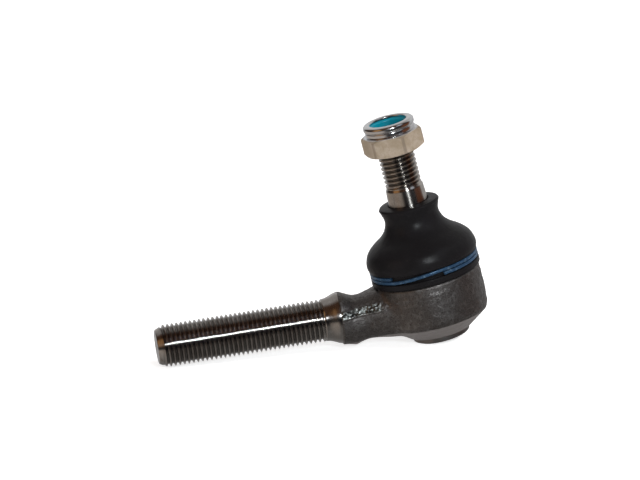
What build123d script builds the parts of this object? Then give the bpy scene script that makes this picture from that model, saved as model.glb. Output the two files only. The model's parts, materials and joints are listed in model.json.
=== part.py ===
from build123d import *
import math
import os

# Tie rod end. Millimetres, +Z up along the ball stud, origin at the ball's centre.
# The threaded shank leaves towards -X and rises a little towards the stud's side.

# Driving dimensions: ball joint
BALL_RADIUS = 10.0
BALL_FLAT_Z = -7.8
SEAT_CLEARANCE = 0.05
SWING_DEG = 25.0

# Driving dimensions: stud
NECK_RADIUS = 5.2
NECK_TOP_Z = 20.0
TAPER_FOOT_Z = 23.6
TAPER_TOP_Z = 40.5
TAPER_TOP_RADIUS = 6.23
TAPER_SLOPE = 1 / 16
STUD_THREAD_RADIUS = 6.0
STUD_THREAD_Z = 42.3
STUD_THREAD_TURNS = 11
STUD_RELIEF_RADIUS = 5.4
STUD_END_CHAMFER = 0.8

# Driving dimensions: threads of both ends
THREAD_PITCH = 1.5
THREAD_DEPTH = 0.6134 * THREAD_PITCH
THREAD_CREST = THREAD_PITCH / 8
THREAD_FLANK = THREAD_DEPTH * math.tan(math.radians(30))

# Driving dimensions: socket
SOCKET_TOP_Z = 10.3
SOCKET_TOP_RADIUS = 17.5
SOCKET_WAIST_RADIUS = 17.7
SOCKET_FOOT_RADIUS = 16.7
SOCKET_FOOT_Z = -4.85
BORE_RADIUS = 12.8
BORE_TOP_Z = 7.0
MOUTH_RADIUS = 9.4
BOSS_RADIUS = 15.0
BOSS_TOP_Z = 15.0
BOSS_MOUTH_RADIUS = 13.1
BOSS_GROOVE_RADIUS = 14.2
LIP_RADIUS = 9.8
LIP_THICKNESS = 1.5

# Driving dimensions: shank, as distances from the ball's centre along the shank
SHANK_RISE_DEG = 6.6
SHANK_END = 92.3
SHANK_THREAD_RADIUS = 7.0
SHANK_THREAD_START = 37.0
SHANK_THREAD_TURNS = 35
SHANK_END_RADIUS = 5.6
COLLAR_RADIUS = 8.5
COLLAR_START = 31.7
COLLAR_END = 32.4

# Driving dimensions: closing cap and its spring
CAP_THICKNESS = 1.2
CAP_RADIUS = 9.4
CAP_STEP_Z = -11.0
CAP_APEX_Z = -12.3
SPRING_THICKNESS = 0.8
SPRING_RADIUS = 7.9
SPRING_HOLE_RADIUS = 5.9

# Driving dimensions: boot and its rings
BOOT_FOOT_RADIUS = 18.1
BOOT_FOOT_Z = 10.5
BOOT_TOP_Z = 35.3
BOOT_GROOVE_RADIUS = 16.85
BOOT_GROOVE_Z = (12.45, 15.25)
CLAMP_WIRE_WIDTH = 1.15
CLAMP_WIRE_HEIGHT = 1.05
CLAMP_LOWER_Z = 13.2
CLAMP_RISE = 1.3
CLAMP_START_DEG = -74.7
CLAMP_LAP_DEG = 301.5
CLAMP_STEP_SECTIONS = 6
NECK_RING_Z = (31.9, 33.7)
NECK_RING_RADIUS = 8.3

# Driving dimensions: nut
NUT_FOOT_Z = 53.1
NUT_FLAT_RADIUS = 9.0
NUT_HEX_HEIGHT = 6.5
NUT_HEIGHT = 10.2
NUT_COLLAR_RADIUS = 8.3
NUT_BORE_RADIUS = 6.05
NUT_CORNER_DEG = -75.6
INSERT_RADIUS = 7.3
INSERT_HOLE_RADIUS = 5.6
INSERT_HEIGHT = 2.6

# The lower rim of the socket is a cone. These are its slope and how far it passes from the ball's centre.
RIM_SLOPE_DEG = 36.2
RIM_SIN = math.sin(math.radians(RIM_SLOPE_DEG))
RIM_COS = math.cos(math.radians(RIM_SLOPE_DEG))
RIM_DISTANCE = SOCKET_FOOT_RADIUS * RIM_SIN - SOCKET_FOOT_Z * RIM_COS

SHANK_DIRECTION = (
    -math.cos(math.radians(SHANK_RISE_DEG)),
    0,
    math.sin(math.radians(SHANK_RISE_DEG)),
)
SHANK_SIDE_PLANE = Plane(origin=(0, 0, 0), x_dir=SHANK_DIRECTION, z_dir=(0, 1, 0))
SHANK_CROSS_PLANE = Plane(origin=(0, 0, 0), x_dir=(0, -1, 0), z_dir=SHANK_DIRECTION)


def rim_z(radius, inset):
    """Height of the cone that lies inset millimetres inside the socket's lower rim."""
    return (radius * RIM_SIN - (RIM_DISTANCE - inset)) / RIM_COS


def sphere_z(sphere_radius, radius):
    """Height of a sphere's upper half at the given radius, and equally its radius at the given height."""
    return math.sqrt(sphere_radius**2 - radius**2)


def taper_radius(z):
    """Radius of the stud's taper at height z."""
    return TAPER_TOP_RADIUS + (TAPER_TOP_Z - z) * TAPER_SLOPE


def thread_outline(start, turns, crest_radius):
    """Points (along, radius) of ring-shaped ridges with a standard 60 degree thread's section."""
    root_radius = crest_radius - THREAD_DEPTH
    points = []
    for turn in range(turns):
        foot = start + turn * THREAD_PITCH
        points.append((foot, root_radius))
        points.append((foot + THREAD_FLANK, crest_radius))
        points.append((foot + THREAD_FLANK + THREAD_CREST, crest_radius))
        points.append((foot + 2 * THREAD_FLANK + THREAD_CREST, root_radius))
    return points


def swapped(points):
    """The same outline with (along, radius) turned into (radius, height)."""
    return [(radius, along) for along, radius in points]


os.makedirs("parts", exist_ok=True)

# Housing: round socket, forged neck and threaded shank in one piece
NECK_SECTIONS = [
    # distance along the shank, half width, top, bottom
    (12.5, 12.0, 8.4, -7.6),
    (16.0, 10.9, 8.4, -8.1),
    (19.0, 9.7, 8.1, -8.1),
    (22.5, 8.7, 6.9, -8.0),
    (25.5, 8.3, 6.4, -8.7),
    (27.6, 8.3, 6.7, -9.5),
    (29.7, 8.4, 7.8, -8.9),
    (COLLAR_START, COLLAR_RADIUS, COLLAR_RADIUS, -COLLAR_RADIUS),
]
shank_outline = [
    (COLLAR_START, 0),
    (COLLAR_START, COLLAR_RADIUS),
    (COLLAR_END, COLLAR_RADIUS),
    (COLLAR_END + 0.8, COLLAR_RADIUS - 0.6),
    (SHANK_THREAD_START - 1.0, SHANK_THREAD_RADIUS),
    (SHANK_THREAD_START - THREAD_FLANK, SHANK_THREAD_RADIUS),
]
shank_outline += thread_outline(SHANK_THREAD_START, SHANK_THREAD_TURNS, SHANK_THREAD_RADIUS)
shank_outline += [
    (SHANK_THREAD_START + SHANK_THREAD_TURNS * THREAD_PITCH + THREAD_FLANK, SHANK_THREAD_RADIUS - 0.2),
    (SHANK_END, SHANK_END_RADIUS),
    (SHANK_END, 0),
]

with BuildPart() as housing:
    with BuildSketch(Plane.XZ):
        with BuildLine():
            Polyline(
                (0, rim_z(LIP_RADIUS, 0)),
                (LIP_RADIUS, rim_z(LIP_RADIUS, 0)),
                (SOCKET_FOOT_RADIUS, SOCKET_FOOT_Z),
                (SOCKET_FOOT_RADIUS + 0.6, SOCKET_FOOT_Z + 1.2),
            )
            ThreePointArc(
                (SOCKET_FOOT_RADIUS + 0.6, SOCKET_FOOT_Z + 1.2),
                (SOCKET_WAIST_RADIUS, 3.0),
                (SOCKET_TOP_RADIUS, SOCKET_TOP_Z - 0.8),
            )
            Polyline(
                (SOCKET_TOP_RADIUS, SOCKET_TOP_Z - 0.8),
                (SOCKET_TOP_RADIUS - 0.8, SOCKET_TOP_Z),
                (BOSS_GROOVE_RADIUS, SOCKET_TOP_Z),
                (BOSS_GROOVE_RADIUS, SOCKET_TOP_Z + 3.7),
                (BOSS_RADIUS, SOCKET_TOP_Z + 4.1),
                (BOSS_RADIUS, BOSS_TOP_Z),
                (0, BOSS_TOP_Z),
                (0, rim_z(LIP_RADIUS, 0)),
            )
        make_face()
    revolve(axis=Axis.Z)
    for along, half_width, top, bottom in NECK_SECTIONS:
        with BuildSketch(SHANK_CROSS_PLANE.offset(along)):
            with Locations((0, (top + bottom) / 2)):
                Ellipse(half_width, (top - bottom) / 2)
    loft()
    with BuildSketch(SHANK_SIDE_PLANE):
        with BuildLine():
            Polyline(*shank_outline, close=True)
        make_face()
    revolve(axis=Axis((0, 0, 0), SHANK_DIRECTION))
    # The bore for the seats, the mouth that lets the stud swing, and the rolled lip
    with BuildSketch(Plane.XZ):
        with BuildLine():
            Polyline(
                (0, rim_z(LIP_RADIUS, 0) - 1),
                (LIP_RADIUS, rim_z(LIP_RADIUS, 0) - 1),
                (LIP_RADIUS, rim_z(LIP_RADIUS, LIP_THICKNESS)),
                (BORE_RADIUS, rim_z(BORE_RADIUS, LIP_THICKNESS)),
                (BORE_RADIUS, BORE_TOP_Z),
                (MOUTH_RADIUS, BORE_TOP_Z),
                (BOSS_MOUTH_RADIUS, BOSS_TOP_Z + 0.001),
                (BOSS_MOUTH_RADIUS, BOSS_TOP_Z + 1),
                (0, BOSS_TOP_Z + 1),
                close=True,
            )
        make_face()
    revolve(axis=Axis.Z, mode=Mode.SUBTRACT)
housing.part.label = "housing"
export_step(housing.part, "parts/housing.step")

# Ball stud: truncated ball, neck, self-holding taper, thread
stud_thread_end = STUD_THREAD_Z + STUD_THREAD_TURNS * THREAD_PITCH
ball_flat_radius = sphere_z(BALL_RADIUS, BALL_FLAT_Z)
with BuildPart() as ball_stud:
    with BuildSketch(Plane.XZ):
        with BuildLine():
            Polyline((0, BALL_FLAT_Z), (ball_flat_radius, BALL_FLAT_Z))
            ThreePointArc(
                (ball_flat_radius, BALL_FLAT_Z),
                (BALL_RADIUS, 0),
                (NECK_RADIUS, sphere_z(BALL_RADIUS, NECK_RADIUS)),
            )
            Polyline(
                (NECK_RADIUS, sphere_z(BALL_RADIUS, NECK_RADIUS)),
                (NECK_RADIUS, NECK_TOP_Z),
                (taper_radius(TAPER_FOOT_Z) - 0.3, TAPER_FOOT_Z - 0.3),
                (taper_radius(TAPER_FOOT_Z), TAPER_FOOT_Z + 0.3),
                (TAPER_TOP_RADIUS, TAPER_TOP_Z),
                (STUD_RELIEF_RADIUS, STUD_THREAD_Z - 0.7),
                (STUD_RELIEF_RADIUS, STUD_THREAD_Z - 0.2),
                *swapped(thread_outline(STUD_THREAD_Z, STUD_THREAD_TURNS, STUD_THREAD_RADIUS)),
                (STUD_THREAD_RADIUS - THREAD_DEPTH, stud_thread_end),
                (STUD_THREAD_RADIUS - THREAD_DEPTH, stud_thread_end + STUD_END_CHAMFER / 2),
                (STUD_THREAD_RADIUS - THREAD_DEPTH - 0.4, stud_thread_end + STUD_END_CHAMFER),
                (0, stud_thread_end + STUD_END_CHAMFER),
                (0, BALL_FLAT_Z),
            )
        make_face()
    revolve(axis=Axis.Z)
ball_stud.part.label = "ball_stud"
export_step(ball_stud.part, "parts/ball_stud.step")

# Upper ball seat: its mouth leaves room for the neck at full swing
seat_radius = BALL_RADIUS + SEAT_CLEARANCE
seat_mouth_deg = SWING_DEG + math.degrees(math.asin((NECK_RADIUS + 0.2) / seat_radius))
seat_mouth_radius = seat_radius * math.sin(math.radians(seat_mouth_deg))
seat_mouth_z = seat_radius * math.cos(math.radians(seat_mouth_deg))
SEAT_OUTER_RADIUS = BORE_RADIUS - 0.05
SEAT_GAP = 0.2
with BuildPart() as upper_ball_seat:
    with BuildSketch(Plane.XZ):
        with BuildLine():
            ThreePointArc(
                (sphere_z(seat_radius, SEAT_GAP), SEAT_GAP),
                (sphere_z(seat_radius, seat_mouth_z / 2), seat_mouth_z / 2),
                (seat_mouth_radius, seat_mouth_z),
            )
            Polyline(
                (seat_mouth_radius, seat_mouth_z),
                (MOUTH_RADIUS, BORE_TOP_Z - 0.05),
                (SEAT_OUTER_RADIUS - 0.6, BORE_TOP_Z - 0.05),
                (SEAT_OUTER_RADIUS, BORE_TOP_Z - 0.65),
                (SEAT_OUTER_RADIUS, SEAT_GAP),
                (sphere_z(seat_radius, SEAT_GAP), SEAT_GAP),
            )
        make_face()
    revolve(axis=Axis.Z)
upper_ball_seat.part.label = "upper_ball_seat"
export_step(upper_ball_seat.part, "parts/upper_ball_seat.step")

# Lower ball seat: a pressure cup, open in the middle so that the ball's flat can swing,
# whose outside follows the closing cap's inside
CUP_INSET = LIP_THICKNESS + CAP_THICKNESS + 0.05
CUP_FOOT_Z = -8.9
CUP_FOOT_RADIUS = 8.0
CUP_HOLE_RADIUS = 5.7
cup_edge_z = -sphere_z(seat_radius, CUP_HOLE_RADIUS)
with BuildPart() as lower_ball_seat:
    with BuildSketch(Plane.XZ):
        with BuildLine():
            ThreePointArc(
                (sphere_z(seat_radius, SEAT_GAP), -SEAT_GAP),
                (sphere_z(seat_radius, cup_edge_z / 2), cup_edge_z / 2),
                (CUP_HOLE_RADIUS, cup_edge_z),
            )
            Polyline(
                (CUP_HOLE_RADIUS, cup_edge_z),
                (CUP_HOLE_RADIUS, CUP_FOOT_Z),
                (CUP_FOOT_RADIUS, CUP_FOOT_Z),
                (CUP_FOOT_RADIUS, rim_z(CUP_FOOT_RADIUS, CUP_INSET)),
                (SEAT_OUTER_RADIUS, rim_z(SEAT_OUTER_RADIUS, CUP_INSET)),
                (SEAT_OUTER_RADIUS, -SEAT_GAP),
                (sphere_z(seat_radius, SEAT_GAP), -SEAT_GAP),
            )
        make_face()
    revolve(axis=Axis.Z)
lower_ball_seat.part.label = "lower_ball_seat"
export_step(lower_ball_seat.part, "parts/lower_ball_seat.step")

# Closing cap: a conical flange under the rolled lip and a domed middle that shows below it
CAP_INNER_RADIUS = CAP_RADIUS - CAP_THICKNESS
CAP_FLOOR_Z = CAP_STEP_Z + 0.6
with BuildPart() as closing_cap:
    with BuildSketch(Plane.XZ):
        with BuildLine():
            ThreePointArc(
                (0, CAP_APEX_Z),
                (CAP_RADIUS * 0.55, CAP_APEX_Z + 0.3),
                (CAP_RADIUS, CAP_STEP_Z),
            )
            Polyline(
                (CAP_RADIUS, CAP_STEP_Z),
                (CAP_RADIUS, rim_z(CAP_RADIUS, LIP_THICKNESS)),
                (SEAT_OUTER_RADIUS, rim_z(SEAT_OUTER_RADIUS, LIP_THICKNESS)),
                (SEAT_OUTER_RADIUS, rim_z(SEAT_OUTER_RADIUS, LIP_THICKNESS + CAP_THICKNESS)),
                (CAP_INNER_RADIUS, rim_z(CAP_INNER_RADIUS, LIP_THICKNESS + CAP_THICKNESS)),
                (CAP_INNER_RADIUS, CAP_FLOOR_Z),
                (0, CAP_FLOOR_Z),
                (0, CAP_APEX_Z),
            )
        make_face()
    revolve(axis=Axis.Z)
closing_cap.part.label = "closing_cap"
export_step(closing_cap.part, "parts/closing_cap.step")

# Preload spring: a conical disc between the cap's floor and the pressure cup
spring_low_z = CAP_FLOOR_Z
spring_high_z = CUP_FOOT_Z
with BuildPart() as preload_spring:
    with BuildSketch(Plane.XZ):
        with BuildLine():
            Polyline(
                (SPRING_RADIUS, spring_low_z),
                (SPRING_RADIUS, spring_low_z + SPRING_THICKNESS),
                (SPRING_HOLE_RADIUS, spring_high_z),
                (SPRING_HOLE_RADIUS, spring_high_z - SPRING_THICKNESS),
                close=True,
            )
        make_face()
    revolve(axis=Axis.Z)
preload_spring.part.label = "preload_spring"
export_step(preload_spring.part, "parts/preload_spring.step")

# Dust boot: foot in the boss's groove, bellied body, tight neck and a flared lip on the stud's taper
LIP_GAP = 0.06
lip_low_z = 30.6
with BuildPart() as dust_boot:
    with BuildSketch(Plane.XZ):
        with BuildLine():
            Polyline(
                (BOSS_GROOVE_RADIUS + 0.1, BOOT_FOOT_Z),
                (BOOT_FOOT_RADIUS, BOOT_FOOT_Z),
                (BOOT_FOOT_RADIUS, BOOT_GROOVE_Z[0] - 0.1),
                (BOOT_GROOVE_RADIUS, BOOT_GROOVE_Z[0]),
                (BOOT_GROOVE_RADIUS, BOOT_GROOVE_Z[1]),
                (BOOT_FOOT_RADIUS, BOOT_GROOVE_Z[1] + 0.15),
            )
            Spline(
                (BOOT_FOOT_RADIUS, BOOT_GROOVE_Z[1] + 0.15),
                (18.4, 16.8),
                (17.0, 21.0),
                (12.5, 24.8),
                (9.0, 29.9),
                (9.9, 34.4),
            )
            Polyline(
                (9.9, 34.4),
                (9.4, 35.0),
                (taper_radius(BOOT_TOP_Z) + LIP_GAP, BOOT_TOP_Z),
                (taper_radius(NECK_RING_Z[1] + 0.1) + LIP_GAP, NECK_RING_Z[1] + 0.1),
                (NECK_RING_RADIUS + LIP_GAP, NECK_RING_Z[1] + 0.1),
                (NECK_RING_RADIUS + LIP_GAP, NECK_RING_Z[0] - 0.1),
                (taper_radius(NECK_RING_Z[0] - 0.1) + LIP_GAP, NECK_RING_Z[0] - 0.1),
                (taper_radius(lip_low_z) + LIP_GAP, lip_low_z),
            )
            Spline(
                (taper_radius(lip_low_z) + LIP_GAP, lip_low_z),
                (7.6, 28.2),
                (10.9, 23.6),
                (15.0, 20.2),
                (16.4, 16.9),
                (15.4, BOSS_TOP_Z + 0.3),
            )
            Polyline(
                (15.4, BOSS_TOP_Z + 0.3),
                (BOSS_RADIUS + 0.15, BOSS_TOP_Z - 0.3),
                (BOSS_RADIUS + 0.15, SOCKET_TOP_Z + 3.9),
                (BOSS_GROOVE_RADIUS + 0.1, SOCKET_TOP_Z + 3.4),
                (BOSS_GROOVE_RADIUS + 0.1, BOOT_FOOT_Z),
            )
        make_face()
    revolve(axis=Axis.Z)
dust_boot.part.label = "dust_boot"
export_step(dust_boot.part, "parts/dust_boot.step")

# Boot neck ring: sits in the groove inside the boot's lip
ring_hole_radius = taper_radius(NECK_RING_Z[0]) + 0.15
with BuildPart() as boot_neck_ring:
    with BuildSketch(Plane.XZ):
        with Locations(((ring_hole_radius + NECK_RING_RADIUS) / 2, sum(NECK_RING_Z) / 2)):
            Rectangle(NECK_RING_RADIUS - ring_hole_radius, NECK_RING_Z[1] - NECK_RING_Z[0])
    revolve(axis=Axis.Z)
    fillet(boot_neck_ring.edges().filter_by(GeomType.CIRCLE), 0.2)
boot_neck_ring.part.label = "boot_neck_ring"
export_step(boot_neck_ring.part, "parts/boot_neck_ring.step")

# Boot clamp ring: flat wire wound nearly twice round the boot's foot, a lower lap that steps up to an upper one
def clamp_section(angle_deg, rise):
    """Upright plane across the wire at the given angle, with the wire's middle raised by rise."""
    outward = Vector(math.cos(math.radians(angle_deg)), math.sin(math.radians(angle_deg)), 0)
    centre = outward * (BOOT_GROOVE_RADIUS + 0.05 + CLAMP_WIRE_WIDTH / 2)
    return Plane(
        origin=centre + Vector(0, 0, CLAMP_LOWER_Z + rise),
        x_dir=outward,
        z_dir=Vector(0, 0, 1).cross(outward),
    )


step_start_deg = CLAMP_START_DEG + CLAMP_LAP_DEG
with BuildPart() as boot_clamp_ring:
    for start_deg, rise in ((CLAMP_START_DEG, 0), (CLAMP_START_DEG + 360, CLAMP_RISE)):
        with BuildSketch(clamp_section(start_deg, rise)):
            Rectangle(CLAMP_WIRE_WIDTH, CLAMP_WIRE_HEIGHT)
        revolve(axis=Axis.Z, revolution_arc=CLAMP_LAP_DEG)
    for step in range(CLAMP_STEP_SECTIONS + 1):
        share = step / CLAMP_STEP_SECTIONS
        angle = step_start_deg + share * (360 - CLAMP_LAP_DEG)
        with BuildSketch(clamp_section(angle, CLAMP_RISE * (1 - math.cos(math.pi * share)) / 2)):
            Rectangle(CLAMP_WIRE_WIDTH, CLAMP_WIRE_HEIGHT)
    loft()
boot_clamp_ring.part.label = "boot_clamp_ring"
export_step(boot_clamp_ring.part, "parts/boot_clamp_ring.step")

# Lock nut: chamfered hexagon with a rolled collar round the insert's groove
hex_top_z = NUT_FOOT_Z + NUT_HEX_HEIGHT
nut_top_z = NUT_FOOT_Z + NUT_HEIGHT
nut_corner_radius = NUT_FLAT_RADIUS / math.cos(math.radians(30))
NUT_CHAMFER_DROP = (nut_corner_radius - NUT_FLAT_RADIUS + 0.3) * math.tan(math.radians(30))
insert_foot_z = hex_top_z + 0.25
with BuildPart() as lock_nut:
    with BuildSketch(Plane.XY.offset(NUT_FOOT_Z)):
        RegularPolygon(NUT_FLAT_RADIUS, 6, major_radius=False, rotation=NUT_CORNER_DEG)
    extrude(amount=NUT_HEX_HEIGHT)
    with BuildSketch(Plane.XZ):
        with BuildLine():
            Polyline(
                (0, NUT_FOOT_Z),
                (NUT_FLAT_RADIUS - 0.3, NUT_FOOT_Z),
                (nut_corner_radius, NUT_FOOT_Z + NUT_CHAMFER_DROP),
                (nut_corner_radius, hex_top_z - NUT_CHAMFER_DROP),
                (NUT_FLAT_RADIUS - 0.3, hex_top_z),
                (0, hex_top_z),
                close=True,
            )
        make_face()
    revolve(axis=Axis.Z, mode=Mode.INTERSECT)
    with BuildSketch(Plane.XZ):
        with BuildLine():
            Polyline(
                (0, hex_top_z - 1),
                (NUT_COLLAR_RADIUS, hex_top_z - 1),
                (NUT_COLLAR_RADIUS, nut_top_z - 1.6),
                (NUT_COLLAR_RADIUS - 0.3, nut_top_z - 1.3),
                (NUT_COLLAR_RADIUS, nut_top_z - 1.0),
            )
            ThreePointArc(
                (NUT_COLLAR_RADIUS, nut_top_z - 1.0),
                (NUT_COLLAR_RADIUS - 0.3, nut_top_z - 0.3),
                (NUT_COLLAR_RADIUS - 1.0, nut_top_z),
            )
            Polyline(
                (NUT_COLLAR_RADIUS - 1.0, nut_top_z),
                (0, nut_top_z),
                (0, hex_top_z - 1),
            )
        make_face()
    revolve(axis=Axis.Z)
    with BuildSketch(Plane.XZ):
        with BuildLine():
            Polyline(
                (0, NUT_FOOT_Z),
                (NUT_BORE_RADIUS + 0.5, NUT_FOOT_Z),
                (NUT_BORE_RADIUS, NUT_FOOT_Z + 0.5),
                (NUT_BORE_RADIUS, insert_foot_z - 0.03),
                (INSERT_RADIUS + 0.05, insert_foot_z - 0.03),
                (INSERT_RADIUS + 0.05, insert_foot_z + INSERT_HEIGHT + 0.03),
                (INSERT_RADIUS - 0.6, insert_foot_z + INSERT_HEIGHT + 0.03),
                (INSERT_RADIUS - 0.3, nut_top_z),
                (0, nut_top_z),
                close=True,
            )
        make_face()
    revolve(axis=Axis.Z, mode=Mode.SUBTRACT)
lock_nut.part.label = "lock_nut"
export_step(lock_nut.part, "parts/lock_nut.step")

# Nylon insert: plain ring, its hole smaller than the stud's thread
with BuildPart() as nylon_insert:
    with BuildSketch(Plane.XY.offset(insert_foot_z)):
        Circle(INSERT_RADIUS)
        Circle(INSERT_HOLE_RADIUS, mode=Mode.SUBTRACT)
    extrude(amount=INSERT_HEIGHT)
    chamfer(nylon_insert.edges().filter_by(GeomType.CIRCLE).sort_by(SortBy.RADIUS)[:2], 0.3)
nylon_insert.part.label = "nylon_insert"
export_step(nylon_insert.part, "parts/nylon_insert.step")
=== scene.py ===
import json
import math

import bmesh
import bpy
from mathutils import Matrix, Vector, noise


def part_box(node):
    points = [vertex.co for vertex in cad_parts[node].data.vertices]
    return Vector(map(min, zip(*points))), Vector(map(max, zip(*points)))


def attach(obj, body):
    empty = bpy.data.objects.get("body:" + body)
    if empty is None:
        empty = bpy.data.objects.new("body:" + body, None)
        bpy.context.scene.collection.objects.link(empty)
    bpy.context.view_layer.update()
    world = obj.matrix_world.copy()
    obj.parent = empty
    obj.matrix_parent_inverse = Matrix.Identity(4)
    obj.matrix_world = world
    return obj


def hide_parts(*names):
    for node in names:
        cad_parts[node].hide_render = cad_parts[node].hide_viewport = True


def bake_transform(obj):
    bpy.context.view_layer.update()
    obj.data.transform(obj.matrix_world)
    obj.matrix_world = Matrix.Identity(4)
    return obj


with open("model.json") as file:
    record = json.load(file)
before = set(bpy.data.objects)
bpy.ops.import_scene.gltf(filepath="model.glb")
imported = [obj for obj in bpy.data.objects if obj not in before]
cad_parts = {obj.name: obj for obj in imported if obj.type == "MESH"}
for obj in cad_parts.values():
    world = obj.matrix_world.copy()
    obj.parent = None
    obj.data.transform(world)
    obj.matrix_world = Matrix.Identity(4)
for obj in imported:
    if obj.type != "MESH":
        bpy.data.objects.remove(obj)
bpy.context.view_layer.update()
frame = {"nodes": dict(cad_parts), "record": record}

# Lengths are in millimetres until a mesh is made, and angles are in degrees where a name says so.
MM = 0.001

# Threads. The crest ends, and the root starts and ends, at these shares of a turn.
PITCH = 1.5
THREAD_DEPTH = 0.6134 * PITCH
CREST_END = 0.125
ROOT_START = 0.48
ROOT_END = 0.64
# The shares of a turn at which a thread has a row of points
PHASES = (0.0, CREST_END, 0.17, 0.43, ROOT_START, 0.56, ROOT_END, 0.69, 0.95)

# Shank, as distances from the ball's centre along it, and its radii
SHANK_END = 92.3
SHANK_CREST = 7.0
SHANK_END_RADIUS = 5.6
CHAMFER_START = SHANK_END - 2.85
SHANK_THREAD_FOOT = 36.6
COLLAR_START = 31.6

# Stud, with the ball's centre at the origin
BALL_RADIUS = 10.0
BALL_FLAT_Z = -7.8
NECK_RADIUS = 5.2
TAPER_TOP_Z = 40.5
TAPER_TOP_RADIUS = 6.23
TAPER_SLOPE = 1 / 16
STUD_CREST = 6.0
STUD_THREAD_FOOT_Z = 41.1

# Socket
SOCKET_TOP_Z = 10.3
RIM_FOOT_RADIUS = 16.7
RIM_FOOT_Z = -4.85
LIP_RADIUS = 9.8
LIP_Z = -9.85
# The trimmed flash line lies higher on the socket than on the neck
FLASH_Z = 6.6
FLASH_NECK_Z = 4.65

# Nut. Its corners are cut a little short of the full hexagon.
NUT_FLAT_RADIUS = 9.0
NUT_EDGE_RADIUS = 10.17
NUT_HEX_HEIGHT = 6.5
NUT_COLLAR_RADIUS = 8.5
NUT_CORNER_DEG = -75.6
NUT_HOLE_RADIUS = 6.15

UP = (0, 0, 1)
mounts = {mount["name"]: mount for mount in frame["record"]["mounts"]}
shank_axis = Vector(mounts["threaded_shank"]["axis"]).normalized()


def box_mm(node):
    """Lowest and highest corner of a CAD node, in millimetres."""
    low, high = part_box(node)
    return low / MM, high / MM


nut_low, nut_high = box_mm("lock_nut")
stud_high = box_mm("ball_stud")[1]
boot_low, boot_high = box_mm("dust_boot")
clamp_low, clamp_high = box_mm("boot_clamp_ring")
cap_low, cap_high = box_mm("closing_cap")
insert_low, insert_high = box_mm("nylon_insert")


# ---------------------------------------------------------------- outlines

def rounded(corners, steps=5):
    """Points of a closed outline whose corners, given as (radius, height, fillet), are rounded by arcs."""
    points = []
    for i, (x, y, fillet) in enumerate(corners):
        corner = Vector((x, y))
        if not fillet:
            points.append(corner)
            continue
        before = corner - Vector(corners[i - 1][:2])
        after = Vector(corners[(i + 1) % len(corners)][:2]) - corner
        turn = before.angle_signed(after)
        reach = abs(fillet * math.tan(turn / 2))
        share = min(1, 0.49 * min(before.length, after.length) / max(reach, 1e-9))
        along = before.normalized()
        inward = Vector((along.y, -along.x)) * (1 if turn > 0 else -1)
        start = corner - along * reach * share
        for step in range(steps + 1):
            angle = abs(turn) * step / steps
            offset = along * math.sin(angle) + inward * (1 - math.cos(angle))
            points.append(start + offset * fillet * share)
    return points


def smooth_through(points, steps=8):
    """Points along a Catmull-Rom curve through the given points, which are tuples of any length."""
    vectors = [Vector(p) for p in points]
    padded = [vectors[0] * 2 - vectors[1], *vectors, vectors[-1] * 2 - vectors[-2]]
    curve = []
    for i in range(1, len(padded) - 2):
        a, b, c, d = padded[i - 1 : i + 3]
        for step in range(steps):
            t = step / steps
            curve.append(
                b
                + (c - a) * 0.5 * t
                + (a * 2 - b * 5 + c * 4 - d) * 0.5 * t**2
                + (b * 3 - a - c * 3 + d) * 0.5 * t**3
            )
    return curve + [vectors[-1]]


def smoothstep(low, high, value):
    """0 below low, 1 above high, and an even ramp between."""
    share = min(1, max(0, (value - low) / (high - low)))
    return share * share * (3 - 2 * share)


# ---------------------------------------------------------------- meshes

def frame_along(axis):
    """Rotation that takes +Z to the given axis."""
    side = Vector((0, 1, 0))
    across = side.cross(axis).normalized()
    return Matrix((across, axis.cross(across), axis)).transposed().to_4x4()


def add_object(name, mesh, material, sharp_deg):
    """Puts a mesh in the scene with smooth shading that breaks at edges sharper than sharp_deg."""
    mesh.materials.append(material)
    mesh.shade_smooth()
    mesh.set_sharp_from_angle(angle=math.radians(sharp_deg))
    piece = bpy.data.objects.new(name, mesh)
    bpy.context.scene.collection.objects.link(piece)
    return piece


def mesh_from(name, points, faces, turn=Matrix.Identity(4)):
    """A clean closed mesh from points in millimetres: doubles are merged and normals point outwards."""
    mesh = bpy.data.meshes.new(name)
    mesh.from_pydata([turn @ (Vector(p) * MM) for p in points], [], faces)
    work = bmesh.new()
    work.from_mesh(mesh)
    bmesh.ops.remove_doubles(work, verts=work.verts, dist=2e-7)
    bmesh.ops.dissolve_degenerate(work, edges=work.edges, dist=1e-7)
    bmesh.ops.recalc_face_normals(work, faces=work.faces)
    work.to_mesh(mesh)
    work.free()
    return mesh


def tube_faces(rows, count):
    """Faces of a tube closed at both ends, through rows of count points each."""
    faces = []
    for i in range(rows - 1):
        for k in range(count):
            far = (k + 1) % count
            faces.append((i * count + k, i * count + far, (i + 1) * count + far, (i + 1) * count + k))
    faces.append(tuple(range(count))[::-1])
    faces.append(tuple(range((rows - 1) * count, rows * count)))
    return faces


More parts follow.
